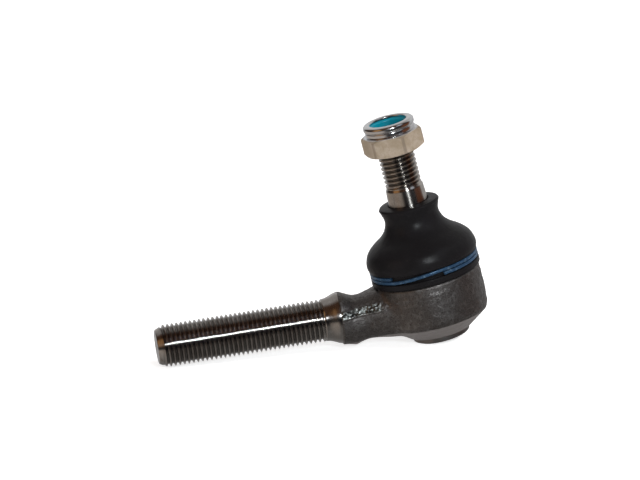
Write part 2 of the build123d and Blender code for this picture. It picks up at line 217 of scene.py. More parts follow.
class Turned:
    """A solid of revolution built row by row, with helical threads where they are asked for.

    Each row holds one (radius, height) pair for every angular step. A thread's rows climb by one pitch
    in a turn, so that its crests and roots are edges of the mesh."""

    def __init__(self, steps=120):
        self.steps = steps
        self.rows = []
        self.wraps = []

    def ring(self, radius, height):
        """A level row. radius and height are numbers, or functions of the angle."""
        row = []
        for step in range(self.steps):
            angle = 2 * math.pi * step / self.steps
            row.append(tuple(v(angle) if callable(v) else v for v in (radius, height)))
        self.rows.append(row)
        self.wraps.append(len(self.rows) - 1)

    def rings(self, points):
        """Level rows through a list of (radius, height) points."""
        for radius, height in points:
            self.ring(radius, height)

    def thread(self, low, high, surface):
        """Helical rows from height low to height high. surface(height, phase) gives the radius."""
        per_turn = len(PHASES)
        turns = math.ceil((high - low) / PITCH) + 1
        first = len(self.rows)
        last = first + (turns + 1) * per_turn
        for turn in range(-1, turns):
            for phase in PHASES:
                row = []
                for step in range(self.steps):
                    height = low + (turn + phase + step / self.steps) * PITCH
                    height = min(high, max(low, height))
                    row.append((surface(height, phase), height))
                self.rows.append(row)
                self.wraps.append(min(len(self.rows) - 1 + per_turn, last))
        self.ring(surface(high, 0), high)

    def mesh(self, name, turn=Matrix.Identity(4)):
        """Joins the rows into a closed mesh, the last row back to the first if they lie off the axis."""
        points, faces = [], []
        for row in self.rows:
            for step, (radius, height) in enumerate(row):
                angle = 2 * math.pi * step / self.steps
                points.append((radius * math.cos(angle), radius * math.sin(angle), height))
        closes_on_itself = self.rows[0][0][0] > 1e-6
        count = len(self.rows) if closes_on_itself else len(self.rows) - 1
        for i in range(count):
            j = (i + 1) % len(self.rows)
            for step in range(self.steps):
                far = (step + 1) % self.steps
                wrap_i = i if far else self.wraps[i]
                wrap_j = j if far else self.wraps[j]
                faces.append((
                    i * self.steps + step,
                    wrap_i * self.steps + far,
                    wrap_j * self.steps + far,
                    j * self.steps + step,
                ))
        return mesh_from(name, points, faces, turn)


def thread_cut(phase):
    """How deep a 60 degree thread is cut at this phase of its turn, from 0 at the crest to 1 at the root."""
    if phase <= CREST_END:
        share = 0
    elif phase < ROOT_START:
        share = (phase - CREST_END) / (ROOT_START - CREST_END)
    elif phase <= ROOT_END:
        share = 1
    else:
        share = (1 - phase) / (1 - ROOT_END)
    return share - 0.08 * math.sin(2 * math.pi * share)


def cut_thread(crest, depth, envelope, low, high, fades):
    """Surface function of a thread cut into an envelope. It fades out over the two lengths in fades."""
    def surface(height, phase):
        fade = smoothstep(0, fades[0], height - low) * smoothstep(0, fades[1], high - height)
        return min(envelope(height), crest - depth * thread_cut(phase) * fade)
    return surface


# ---------------------------------------------------------------- materials

class NodeGraph:
    """A node tree. Each method adds nodes, links their inputs and returns an output socket."""

    def __init__(self, tree, coordinates):
        self.nodes = tree.nodes
        self.links = tree.links
        self.place = self.nodes.new("ShaderNodeTexCoord").outputs[coordinates]

    def put(self, node, inputs, output=0):
        """Sets or links a node's inputs, given as {name or number: number, colour or socket}."""
        for key, value in inputs.items():
            if isinstance(value, bpy.types.NodeSocket):
                self.links.new(value, node.inputs[key])
            else:
                node.inputs[key].default_value = value
        return node.outputs[output]

    def vector(self, operation, inputs, output="Value"):
        """The result of a vector operation."""
        node = self.nodes.new("ShaderNodeVectorMath")
        node.operation = operation
        return self.put(node, inputs, output)

    def along(self, axis):
        """How far the place lies along the axis."""
        return self.vector("DOT_PRODUCT", {0: self.place, 1: axis})

    def height(self):
        """Height of the place."""
        return self.along(UP)

    def ramp(self, value, low, high, to_low=0, to_high=1):
        """A smooth step of value between low and high."""
        node = self.nodes.new("ShaderNodeMapRange")
        node.interpolation_type = "SMOOTHSTEP"
        inputs = {"From Min": low, "From Max": high, "To Min": to_low, "To Max": to_high}
        return self.put(node, {"Value": value, **inputs})

    def maths(self, operation, a, b):
        """Two values joined by a maths operation."""
        node = self.nodes.new("ShaderNodeMath")
        node.operation = operation
        return self.put(node, {0: a, 1: b})

    def add(self, a, b):
        """The sum of two values."""
        return self.maths("ADD", a, b)

    def times(self, a, b):
        """The product of two values."""
        return self.maths("MULTIPLY", a, b)

    def mix(self, share, low, high):
        """A colour between low and high."""
        node = self.nodes.new("ShaderNodeMix")
        node.data_type = "RGBA"
        colours = {6: low, 7: high}
        for key, value in colours.items():
            if not isinstance(value, bpy.types.NodeSocket):
                colours[key] = (*value, 1)
        return self.put(node, {0: share, **colours}, 2)


class Look(NodeGraph):
    """One node material of a piece. Its places are the piece's own, in metres."""

    def __init__(self, name, **shader_values):
        self.material = bpy.data.materials.new(name)
        self.material.use_nodes = True
        super().__init__(self.material.node_tree, "Object")
        self.shader = self.nodes["Principled BSDF"]
        for socket, value in shader_values.items():
            self.shader.inputs[socket.replace("_", " ")].default_value = value

    def noise(self, size, detail=4, roughness=0.55, place=None):
        """Noise whose features are about size millimetres across."""
        node = self.nodes.new("ShaderNodeTexNoise")
        inputs = {"Scale": 1 / (size * MM), "Detail": detail, "Roughness": roughness}
        return self.put(node, {"Vector": place or self.place, **inputs}, "Fac")

    def layers(self, axis):
        """A place that changes only along the axis, for marks that run round a turned surface."""
        return self.put(self.nodes.new("ShaderNodeCombineXYZ"), {"X": self.along(axis)})

    def from_axis(self, axis):
        """Distance from an axis through the origin."""
        across = self.vector("CROSS_PRODUCT", {0: self.place, 1: axis}, "Vector")
        return self.vector("LENGTH", {0: across})

    def world_vector(self, axis):
        """The piece's own axis turned with the piece."""
        turn = self.nodes.new("ShaderNodeVectorTransform")
        turn.vector_type = "VECTOR"
        turn.convert_from = "OBJECT"
        turn.convert_to = "WORLD"
        return self.put(turn, {"Vector": axis})

    def bump(self, height, depth, normal=None):
        """A normal from a height of 0 to 1, where 1 stands depth millimetres proud."""
        node = self.nodes.new("ShaderNodeBump")
        inputs = {"Height": height, "Distance": depth * MM, "Strength": 1.0}
        if normal:
            inputs["Normal"] = normal
        return self.put(node, inputs)

    def finish(self, **sockets):
        """Links node outputs to the shader's inputs."""
        for name, socket in sockets.items():
            self.links.new(socket, self.shader.inputs[name.replace("_", " ")])
        return self.material


def forged_steel():
    """Dark oiled forging scale, bright torn metal on the flash line and a smooth rolled rim."""
    look = Look("forged_steel")

    # Fine grained scale with paler mottling, rust in patches and small bright specks
    broad = look.noise(8, 3)
    mottle = look.noise(1.5, 4, 0.6)
    grain = look.noise(0.42, 3, 0.65)
    specks = look.ramp(look.noise(0.7, 4, 0.7), 0.66, 0.74, 0, 0.6)
    scale = look.mix(broad, (0.115, 0.099, 0.089), (0.180, 0.173, 0.172))
    scale = look.mix(look.ramp(mottle, 0.46, 0.66, 0, 0.6), scale, (0.25, 0.241, 0.234))
    scale = look.mix(look.ramp(grain, 0.52, 0.32, 0, 0.75), scale, (0.055, 0.048, 0.043))
    scale = look.mix(look.ramp(look.noise(3.6, 4), 0.58, 0.75, 0, 0.5), scale, (0.12, 0.078, 0.055))
    scale = look.mix(specks, scale, (0.34, 0.335, 0.33))

    # Torn metal in a band above the flash line on the neck, with bright beads on its lower edge
    above_line = look.add(look.height(), -(FLASH_NECK_Z + 0.35) * MM)
    above_line = look.add(above_line, look.times(look.noise(1.3, 4, 0.7), 0.7 * MM))
    on_neck = look.ramp(look.along(shank_axis), 17 * MM, 20 * MM)
    band = look.times(
        look.ramp(above_line, -0.15 * MM, 0.1 * MM),
        look.ramp(above_line, 2.8 * MM, 1.9 * MM),
    )
    band = look.times(band, on_neck)
    edge = look.times(
        look.ramp(above_line, -0.35 * MM, -0.1 * MM),
        look.ramp(above_line, 0.25 * MM, 0.0),
    )
    beads = look.ramp(look.noise(0.9, 2, 0.5), 0.5, 0.56)
    edge = look.times(look.times(edge, beads), on_neck)
    tears = look.ramp(look.noise(0.7, 4, 0.65), 0.42, 0.64)
    torn = look.mix(tears, (0.05, 0.053, 0.05), (0.36, 0.385, 0.365))
    scale = look.mix(look.times(band, 0.85), scale, torn)
    scale = look.mix(edge, scale, (0.85, 0.84, 0.82))

    # The rolled rim, with faint rings
    rim = look.ramp(look.height(), (RIM_FOOT_Z + 0.55) * MM, (RIM_FOOT_Z + 0.15) * MM)
    rings = look.noise(0.5, 2, 0.5, place=look.layers(UP))
    rolled = look.mix(rings, (0.135, 0.120, 0.114), (0.190, 0.172, 0.166))
    colour = look.mix(rim, scale, rolled)

    bare = look.maths("MAXIMUM", look.maths("MAXIMUM", band, edge), specks)
    rough = look.ramp(mottle, 0.3, 0.7, 0.50, 0.40)
    rough = look.maths("SUBTRACT", rough, look.times(bare, 0.12))
    metal = look.add(look.ramp(rim, 0, 1, 0.94, 0.45), look.times(bare, 0.05))
    fine = look.bump(look.times(grain, look.ramp(rim, 0, 1, 1, 0.15)), 0.10)
    relief = look.bump(look.times(mottle, look.ramp(rim, 0, 1, 1, 0.2)), 0.13, fine)
    return look.finish(Base_Color=colour, Roughness=rough, Metallic=metal, Normal=relief)


def turned_steel(name, axis, dark, light, roughness, streak=0.9, thread=None):
    """Turned steel, whose marks run round the given axis. Streak draws its highlights out along the axis.

    A thread, given as (crest radius, end along the axis, share), gets painted shade that darkens its roots
    below the crest."""
    look = Look(name, Metallic=1.0, Anisotropic=streak)
    marks = look.noise(0.2, 2, 0.6, place=look.layers(axis))
    stain = look.noise(4.5, 4, 0.6)
    colour = look.mix(look.ramp(stain, 0.35, 0.7), dark, light)
    colour = look.mix(look.ramp(marks, 0.35, 0.7, 0, 0.2), colour, tuple(c * 0.5 for c in dark))
    if thread:
        crest, end, share = thread
        # Painted shade: darkens the thread's roots below the crest, as the grooves would be shaded.
        painted_root_shade = look.ramp(look.from_axis(axis), (crest - 0.25) * MM, (crest - 0.75) * MM, 0, share)
        on_thread = look.ramp(look.along(axis), end * MM, (end - 0.8) * MM)
        colour = look.mix(look.times(painted_root_shade, on_thread), colour, (0.05, 0.042, 0.036))
    rough = look.ramp(look.noise(0.8, 4), 0.3, 0.7, roughness - 0.02, roughness + 0.02)
    relief = look.bump(look.noise(2.2, 2), 0.0007)
    return look.finish(Base_Color=colour, Roughness=rough, Normal=relief, Tangent=look.world_vector(axis))


def boot_rubber():
    """Black moulded rubber with a faint bloom and a fine skin."""
    look = Look("boot_rubber", Specular_IOR_Level=0.13, IOR=1.38)
    bloom = look.noise(9, 4, 0.6)
    skin = look.noise(0.3, 3, 0.6)
    dust = look.ramp(look.noise(1.1, 5, 0.7), 0.6, 0.78)
    colour = look.mix(bloom, (0.006, 0.0055, 0.0055), (0.0105, 0.0098, 0.011))
    colour = look.mix(look.times(dust, 0.5), colour, (0.022, 0.021, 0.020))
    rough = look.ramp(bloom, 0.3, 0.7, 0.28, 0.36)
    relief = look.bump(skin, 0.02, look.bump(look.noise(5, 2), 0.18))
    return look.finish(Base_Color=colour, Roughness=rough, Normal=relief)


def blue_ring():
    """Blue coated spring wire, worn to a paler blue in places."""
    look = Look("blue_ring", Metallic=0.55)
    wear = look.ramp(look.noise(1.6, 5, 0.7), 0.5, 0.72)
    colour = look.mix(look.noise(6, 3), (0.020, 0.052, 0.105), (0.034, 0.085, 0.160))
    colour = look.mix(wear, colour, (0.12, 0.20, 0.285))
    rough = look.ramp(wear, 0, 1, 0.33, 0.45)
    return look.finish(Base_Color=colour, Roughness=rough, Normal=look.bump(look.noise(0.5, 3), 0.02))


def plated_nut():
    """Zinc plating, matt and warm on the drawn flats, with painted shade as a dark line along their corners,
    and bright on the collar.
    """
    look = Look("plated_nut")
    grain = look.noise(0.35, 4, 0.65)
    cloud = look.noise(3.5, 4, 0.6)
    hex_top = nut_low.z + NUT_HEX_HEIGHT
    collar = look.ramp(look.height(), (hex_top - 0.35) * MM, hex_top * MM)
    # Painted shade: a dark line along the hexagon's corners, standing in for the shade of the corner edges.
    corner_shade_start = NUT_EDGE_RADIUS - 0.14
    corner = look.ramp(look.from_axis(UP), corner_shade_start * MM, NUT_EDGE_RADIUS * MM, 0, 0.5)
    flats = look.mix(look.ramp(cloud, 0.35, 0.7), (0.335, 0.265, 0.185), (0.45, 0.37, 0.29))
    flats = look.mix(look.ramp(grain, 0.5, 0.72, 0, 0.8), flats, (0.26, 0.204, 0.147))
    flats = look.mix(corner, flats, (0.17, 0.13, 0.10))
    bright = look.mix(cloud, (0.70, 0.69, 0.67), (0.86, 0.87, 0.90))
    rough = look.maths("SUBTRACT", look.ramp(cloud, 0.3, 0.7, 0.44, 0.54), look.times(collar, 0.32))
    metal = look.ramp(collar, 0, 1, 0.45, 1.0)
    colour = look.mix(collar, flats, bright)
    relief = look.bump(look.times(grain, look.ramp(collar, 0, 1, 1, 0.12)), 0.016)
    return look.finish(Base_Color=colour, Roughness=rough, Metallic=metal, Normal=relief)


def nylon():
    """Blue-green nylon, waxy and slightly uneven."""
    look = Look("nylon", Specular_IOR_Level=0.5)
    cloud = look.noise(2.5, 3)
    colour = look.mix(cloud, (0.0, 0.165, 0.23), (0.003, 0.25, 0.34))
    rough = look.ramp(cloud, 0.3, 0.7, 0.28, 0.4)
    return look.finish(Base_Color=colour, Roughness=rough, Normal=look.bump(look.noise(0.6, 3), 0.02))


def seat_plastic():
    """Off-white bearing plastic."""
    look = Look("seat_plastic", Specular_IOR_Level=0.45)
    cloud = look.noise(3, 3)
    colour = look.mix(cloud, (0.70, 0.69, 0.64), (0.80, 0.79, 0.75))
    rough = look.ramp(cloud, 0.3, 0.7, 0.4, 0.55)
    return look.finish(Base_Color=colour, Roughness=rough, Normal=look.bump(look.noise(0.5, 3), 0.015))


FORGED = forged_steel()
# The last number of each thread sets how strong the painted shade in its roots is.
SHANK_STEEL = turned_steel(
    "shank_steel", shank_axis, (0.44, 0.41, 0.385), (0.58, 0.56, 0.54), 0.205,
    thread=(SHANK_CREST, SHANK_END - 1.3, 0.5),
)
STUD_STEEL = turned_steel(
    "stud_steel", UP, (0.52, 0.48, 0.44), (0.64, 0.61, 0.58), 0.22,
    thread=(STUD_CREST, stud_high.z + 1, 0.75),
)
CAP_STEEL = turned_steel("cap_steel", UP, (0.21, 0.195, 0.187), (0.29, 0.275, 0.265), 0.5, streak=0.0)
SPRING_STEEL = turned_steel("spring_steel", UP, (0.3, 0.3, 0.3), (0.42, 0.42, 0.42), 0.3)
RUBBER = boot_rubber()
BLUE = blue_ring()
PLATED = plated_nut()
NYLON = nylon()
PLASTIC = seat_plastic()


# ---------------------------------------------------------------- forged body

NECK_SECTIONS = [
    # distance along the shank, half width, top and bottom, measured across the shank
    (11.0, 12.6, 7.6, -8.2),
    (13.4, 11.7, 7.8, -8.7),
    (15.2, 11.0, 8.1, -8.7),
    (17.0, 10.35, 8.2, -8.5),
    (19.0, 9.7, 8.1, -8.3),
    (22.5, 8.7, 6.9, -8.1),
    (25.2, 8.3, 6.45, -8.7),
    (27.2, 8.3, 6.75, -9.4),
    (29.0, 8.45, 7.65, -9.1),
    (30.4, 8.6, 8.25, -8.9),
    (COLLAR_START, 8.7, 8.45, -8.8),
]
# The power of the sections' superellipse: 2 is an ellipse, and more is squarer
NECK_SQUARENESS = 2.3
# The skin's mesh size
VOXEL = 0.3
shank_turn = frame_along(shank_axis)


def socket_mesh():
    """The round socket with the grooved boss on top that holds the boot, its bore and its rolled rim."""
    groove_radius, boss_radius, boss_top_z = 14.2, 15.0, 15.0
    bore_radius, bore_top_z = 12.8, 7.0
    outline = [
        (LIP_RADIUS, LIP_Z, 0.3),
        (RIM_FOOT_RADIUS, RIM_FOOT_Z, 0.5),
        (17.35, RIM_FOOT_Z + 1.5, 1.5),
        (17.75, 3.0, 40),
        (17.5, SOCKET_TOP_Z, 0.9),
        (groove_radius, SOCKET_TOP_Z, 0.3),
        (groove_radius, boss_top_z - 1.0, 0),
        (boss_radius, boss_top_z - 0.6, 0),
        (boss_radius, boss_top_z, 0.2),
        (13.1, boss_top_z, 0.2),
        (9.4, bore_top_z, 0.2),
        (bore_radius, bore_top_z, 0),
        (bore_radius, -5.8, 0),
        (LIP_RADIUS, -8.0, 0.2),
    ]
    solid = Turned(160)
    solid.rings(rounded(outline))
    return solid.mesh("socket")


def neck_mesh():
    """The forged neck: squarish sections along the shank, closed at both ends."""
    steps = 72
    points = []
    power = 2 / NECK_SQUARENESS
    sections = smooth_through(NECK_SECTIONS, 6)
    for along, half_width, top, bottom in sections:
        for step in range(steps):
            angle = 2 * math.pi * step / steps
            up = math.copysign(abs(math.cos(angle)) ** power, math.cos(angle))
            side = math.copysign(abs(math.sin(angle)) ** power, math.sin(angle))
            points.append(((top + bottom) / 2 + up * (top - bottom) / 2, side * half_width, along))
    return mesh_from("neck", points, tube_faces(len(sections), steps), shank_turn)


# The skin's roughness, as (depth, size) of each layer
SKIN_LAYERS = ((0.30, 6.5), (0.16, 2.2), (0.10, 0.8))


def rough_noise(place, size, seed):
    """Smooth noise about -0.5 to 0.5 with features size millimetres across, the same on every run."""
    return noise.noise(place / size + Vector((seed, 2.3 * seed, 5.1 * seed))) * 0.5


def forging_relief(place, along):
    """How far the forging's skin stands proud at this place, in millimetres."""
    above_rim = smoothstep(RIM_FOOT_Z - 0.1, RIM_FOOT_Z + 0.6, place.z)
    layers = enumerate(SKIN_LAYERS, 1)
    skin = sum(depth * rough_noise(place, size, seed) for seed, (depth, size) in layers)
    # The trimmed flash: a ragged band above the parting line, with a lip and a groove along the neck
    neck_share = smoothstep(15, 19, along)
    offset = place.z - FLASH_Z + (FLASH_Z - FLASH_NECK_Z) * smoothstep(12, 17, along)
    ragged = 0.5 + 1.3 * rough_noise(place, 1.6, 4) + 1.4 * rough_noise(place, 0.75, 5)
    width = 0.5 + 1.5 * neck_share
    band = smoothstep(-0.3, 0.05, offset) * smoothstep(width + 0.9, width, offset)
    flash = band * max(0, ragged) * (0.12 + 0.43 * neck_share)
    groove = math.exp(-(((offset - 0.35) / 0.22) ** 2)) * neck_share * smoothstep(31, 28.5, along)
    lip = math.exp(-(((offset + 0.1) / 0.25) ** 2)) * neck_share
    broken = smoothstep(-0.2, 0.15, rough_noise(place, 3.0, 6))
    return above_rim * (skin + flash + 0.28 * lip - 0.55 * groove * broken)


def apply_modifiers(piece):
    """Replaces a piece's mesh with its modified mesh."""
    modified = piece.evaluated_get(bpy.context.evaluated_depsgraph_get())
    piece.data = bpy.data.meshes.new_from_object(modified)
    piece.modifiers.clear()


def junction_weight(place, along):
    """1 where the neck flows into the socket's wall, and 0 elsewhere. It starts earlier low down."""
    start = 12.9 - 3 * smoothstep(-2, -5, place.z)
    below_boss = smoothstep(9.7, 8.6, place.z)
    return smoothstep(start, start + 1.7, along) * smoothstep(24, 19, along) * below_boss


def relief_share(place, along):
    """1 on the forged outside, and 0 on the boss, in the bore and from the machined collar on."""
    socket_wall = smoothstep(13.5, 15.5, math.hypot(place.x, place.y))
    below_boss = smoothstep(SOCKET_TOP_Z + 0.1, SOCKET_TOP_Z - 0.3, place.z)
    neck = smoothstep(17, 19, along)
    before_collar = smoothstep(COLLAR_START, COLLAR_START - 0.6, along)
    return max(socket_wall * below_boss, neck) * before_collar


def fuse(piece):
    """Joins a piece's overlapping shells into one skin."""
    remesh = piece.modifiers.new("fuse", "REMESH")
    remesh.mode = "VOXEL"
    remesh.voxel_size = VOXEL * MM
    remesh.use_smooth_shade = True
    apply_modifiers(piece)


def fillet_junction(piece):
    """Smooths the corner between the neck and the socket."""
    junction = piece.vertex_groups.new(name="junction")
    for vertex in piece.data.vertices:
        place = vertex.co / MM
        weight = junction_weight(place, place.dot(shank_axis))
        if weight > 0:
            junction.add([vertex.index], weight, "REPLACE")
    fillet = piece.modifiers.new("fillet", "SMOOTH")
    fillet.iterations = 150
    fillet.vertex_group = junction.name
    apply_modifiers(piece)


def forged_body():
    """Socket and neck fused into one skin, then given the relief of a rough forging."""
    work = bmesh.new()
    for shell in (socket_mesh(), neck_mesh()):
        work.from_mesh(shell)
    mesh = bpy.data.meshes.new("forged_body")
    work.to_mesh(mesh)
    work.free()
    piece = add_object("forged_body", mesh, FORGED, 180)
    fuse(piece)
    fillet_junction(piece)
    skin = piece.data
    normals = [vertex.normal.copy() for vertex in skin.vertices]
    for vertex, normal in zip(skin.vertices, normals):
        place = vertex.co / MM
        along = place.dot(shank_axis)
        vertex.co += normal * forging_relief(place, along) * relief_share(place, along) * MM
    skin.update()
    return piece


# ---------------------------------------------------------------- turned pieces

def shank():
    """Machined collar, flare and M14 thread, with a long chamfer at the free end."""
    buried_start = 29.5
    thread_top = SHANK_END - 0.15
    dished = SHANK_END - 0.05

    def envelope(height):
        share = max(0, height - CHAMFER_START) / (SHANK_END - CHAMFER_START)
        return SHANK_CREST - share * (SHANK_CREST - SHANK_END_RADIUS)

    flare = smooth_through([
        (8.4, COLLAR_START - 0.3), (8.42, COLLAR_START + 0.3), (8.2, 32.8), (7.6, 34.2), (7.15, 35.5),
        (SHANK_CREST, SHANK_THREAD_FOOT - 0.3),
    ], 5)
    solid = Turned(132)
    solid.rings([(0, buried_start), (8.0, buried_start), *flare])
    surface = cut_thread(SHANK_CREST, THREAD_DEPTH, envelope, SHANK_THREAD_FOOT, thread_top, (1.2, 1.8))
    solid.thread(SHANK_THREAD_FOOT, thread_top, surface)
    solid.rings([(SHANK_END_RADIUS - 0.12, SHANK_END), (1.2, dished), (0, dished)])
    return add_object("shank", solid.mesh("shank", shank_turn), SHANK_STEEL, 28)


def stud_taper(height):
    """Radius of the stud's taper."""
    return TAPER_TOP_RADIUS + (TAPER_TOP_Z - height) * TAPER_SLOPE


def stud():
    """Ball, neck, taper and M12 thread."""
    ball_steps = 32
    ball_start = math.acos(BALL_FLAT_Z / BALL_RADIUS)
    ball_end = math.asin(NECK_RADIUS / BALL_RADIUS)
    solid = Turned(120)
    solid.rings([(0, BALL_FLAT_Z)])
    for step in range(ball_steps + 1):
        angle = ball_start + (ball_end - ball_start) * step / ball_steps
        solid.ring(BALL_RADIUS * math.sin(angle), BALL_RADIUS * math.cos(angle))
    neck = smooth_through([(5.25, 10), (NECK_RADIUS, 19.4), (5.7, 21), (6.9, 22.9), (stud_taper(24), 24)], 5)
    solid.rings(neck)
    solid.rings([(stud_taper(z), z) for z in (30, 36, TAPER_TOP_Z - 0.35, TAPER_TOP_Z - 0.1)])
    foot_radius = STUD_CREST - 0.15
    solid.rings([(TAPER_TOP_RADIUS - 0.1, TAPER_TOP_Z + 0.1), (foot_radius + 0.1, STUD_THREAD_FOOT_Z - 0.2)])

    thread_top = stud_high.z - 0.35
    tip_start = thread_top - 1.0
    lead_end = STUD_THREAD_FOOT_Z + 0.6

    def envelope(height):
        lead = foot_radius + smoothstep(STUD_THREAD_FOOT_Z, lead_end, height) * (STUD_CREST - foot_radius)
        tip = STUD_CREST - max(0, height - tip_start) * 0.9
        return min(lead, tip)

    ends = (STUD_THREAD_FOOT_Z, thread_top + 0.4)
    surface = cut_thread(STUD_CREST, THREAD_DEPTH, envelope, *ends, (1.0, 0.6))
    solid.thread(STUD_THREAD_FOOT_Z, thread_top, surface)
    solid.rings([(4.7, stud_high.z), (0, stud_high.z)])
    return add_object("stud", solid.mesh("stud"), STUD_STEEL, 28)


def nut():
    """Chamfered hexagon, ridged collar, pocket for the insert and a real thread inside."""
    foot, top = nut_low.z, nut_high.z
    hex_top = foot + NUT_HEX_HEIGHT
    chamfer_radius = NUT_FLAT_RADIUS - 0.2
    chamfer_slope = math.tan(math.radians(30))
    bore, thread_depth = 6.06, 0.82
    thread_foot = foot + 0.5
    thread_top = insert_low.z - 0.1

    def hexagon(angle):
        turn = math.degrees(angle) - NUT_CORNER_DEG
        return min(NUT_FLAT_RADIUS / math.cos(math.radians(turn % 60 - 30)), NUT_EDGE_RADIUS)

    def lower_edge(angle):
        return foot + (hexagon(angle) - chamfer_radius) * chamfer_slope

    def upper_edge(angle):
        return hex_top - (hexagon(angle) - chamfer_radius) * chamfer_slope

    solid = Turned(240)
    surface = cut_thread(bore, thread_depth, lambda height: bore, thread_foot, thread_top, (0.6, 0.6))
    solid.thread(thread_foot, thread_top, surface)
    # From the insert's pocket out through the hole and down the collar. The last corner only ends a fillet.
    pocket_radius, pocket_top = insert_high.x + 0.04, insert_high.z + 0.05
    collar = rounded([
        (pocket_radius, insert_low.z - 0.06, 0),
        (pocket_radius, pocket_top, 0),
        (NUT_HOLE_RADIUS, pocket_top, 0.1),
        (NUT_HOLE_RADIUS, top, 0.7),
        (NUT_COLLAR_RADIUS, top, 1.0),
        (NUT_COLLAR_RADIUS, top - 1.9, 0.9),
        (NUT_COLLAR_RADIUS - 0.75, top - 2.05, 0.12),
        (NUT_COLLAR_RADIUS - 0.3, top - 2.25, 0.4),
        (NUT_COLLAR_RADIUS - 0.3, top - 3.3, 0.35),
        (NUT_COLLAR_RADIUS - 0.45, hex_top, 0.1),
        (bore, foot, 0),
    ])
    solid.rings(collar[:-1])
    solid.ring(chamfer_radius, hex_top)
    solid.ring(hexagon, upper_edge)
    solid.ring(hexagon, lower_edge)
    solid.ring(chamfer_radius, foot)
    solid.ring(bore + 0.75, foot)
    solid.ring(bore, thread_foot - 0.02)
    piece = add_object("nut", solid.mesh("nut"), PLATED, 24)
    bevel = piece.modifiers.new("edges", "BEVEL")
    bevel.width = 0.14 * MM
    bevel.segments = 2
    bevel.limit_method = "ANGLE"
    bevel.angle_limit = math.radians(24)
    return piece


def insert():
    """The nylon locking ring, its hole eased at both ends."""
    hole = 5.6
    low, high, outer = insert_low.z, insert_high.z, insert_high.x
    outline = [
        (hole, low, 0.2),
        (outer, low, 0.1),
        (outer, high, 0.1),
        (hole + 0.7, high, 0.25),
        (hole, high - 0.45, 0.4),
    ]
    solid = Turned(128)
    solid.rings(rounded(outline))
    return add_object("insert", solid.mesh("insert"), NYLON, 50)


def cap():
    """The pressed closing cap: a shallow dome with a step, and its flange under the rolled lip."""
    apex = cap_low.z
    step_radius, inner_radius, inner_z = 9.4, 8.2, -10.4
    outline = [
        (0, apex, 0),
        (4.4, apex + 0.16, 6),
        (8.7, apex + 0.95, 1.2),
        (step_radius, apex + 1.5, 0.3),
        (step_radius, -8.3, 0.3),
        (cap_high.x, -5.95, 0.1),
        (cap_high.x, cap_high.z, 0.1),
        (inner_radius, -7.7, 0.3),
        (inner_radius, inner_z, 0.3),
        (0, inner_z, 0),
    ]
    solid = Turned(128)
    solid.rings(rounded(outline))
    return add_object("cap", solid.mesh("cap"), CAP_STEEL, 40)


def boot():
    """The rubber boot: foot, bellied body, neck and flared lip, hollow inside."""
    foot, top = boot_low.z, boot_high.z
    foot_radius, wire_radius = 18.1, 16.85
    grip_radius, wall_radius = 14.3, 15.15
    foot_top = foot + 5.1
    lip_foot = (9.65, 33.2)
    # The lip closes on the stud's taper from here up
    gap = 0.06
    seal_low = (stud_taper(30.6) + gap, 30.6)
    seal_high = (stud_taper(34) + gap, 34.0)

    body = smooth_through([
        (foot_radius, foot_top), (18.42, 16.9), (18.15, 18.7), (17.15, 20.9), (15.1, 22.9), (12.4, 24.8),
        (10.35, 26.9), (9.25, 29.3), (9.1, 31.2), lip_foot,
    ], 7)
    inside = smooth_through([
        seal_low, (8.05, 28.6), (9.0, 26.4), (11.4, 23.6), (15.0, 20.2), (16.4, 16.9), (15.4, 15.3),
    ], 7)
    lip = rounded([
        (*lip_foot, 0),
        (10.1, 34.4, 0.12),
        (9.7, top - 0.3, 0.2),
        (stud_taper(top) + gap + 0.25, top, 0.2),
        (*seal_high, 0),
        (*seal_low, 0),
    ])
    outer_foot = [
        (foot_radius, foot, 0.3),
        (foot_radius, foot + 1.85, 0.25),
        (wire_radius, foot + 1.95, 0.15),
        (wire_radius, foot + 4.75, 0.15),
        (foot_radius, foot + 4.85, 0.35),
        (foot_radius, foot_top, 0),
    ]
    inner_foot = [
        (wall_radius, foot + 4.3, 0),
        (wall_radius, 14.2, 0),
        (grip_radius, 13.7, 0),
    ]
    foot_outline = rounded([(grip_radius, foot, 0.2), *outer_foot, *inner_foot])
    # The body, the lip and the inside take the place of the foot's highest corner
    split = len(foot_outline) - len(inner_foot) - 1
    solid = Turned(144)
    solid.rings(foot_outline[:split] + body[:-1] + lip[:-1] + inside + foot_outline[split + 1 :])
    return add_object("boot", solid.mesh("boot"), RUBBER, 60)


# ---------------------------------------------------------------- clamp ring

def clamp_ring():
    """Flat blue wire: a lower lap that steps up to an upper one, with square-cut ends."""
    start_deg = -76.4
    # The wire steps up between this angle from its start and one full turn
    step_deg, rise = 300.0, 1.3
    width, height = 1.15, 1.05
    middle = (clamp_high.x - width / 2, clamp_low.z + height / 2)
    section = rounded([
        (-width / 2, -height / 2, 0.15),
        (width / 2, -height / 2, 0.3),
        (width / 2, height / 2, 0.3),
        (-width / 2, height / 2, 0.15),
    ], 3)
    stations = 240
    points = []
    for i in range(stations + 1):
        turned = (step_deg + 360) * i / stations
        share = smoothstep(step_deg, 360, turned)
        angle = math.radians(start_deg + turned)
        for x, z in section:
            radius = middle[0] + x
            points.append((radius * math.cos(angle), radius * math.sin(angle), middle[1] + rise * share + z))
    mesh = mesh_from("clamp_ring", points, tube_faces(stations + 1, len(section)))
    return add_object("clamp_ring", mesh, BLUE, 40)


# ---------------------------------------------------------------- the object

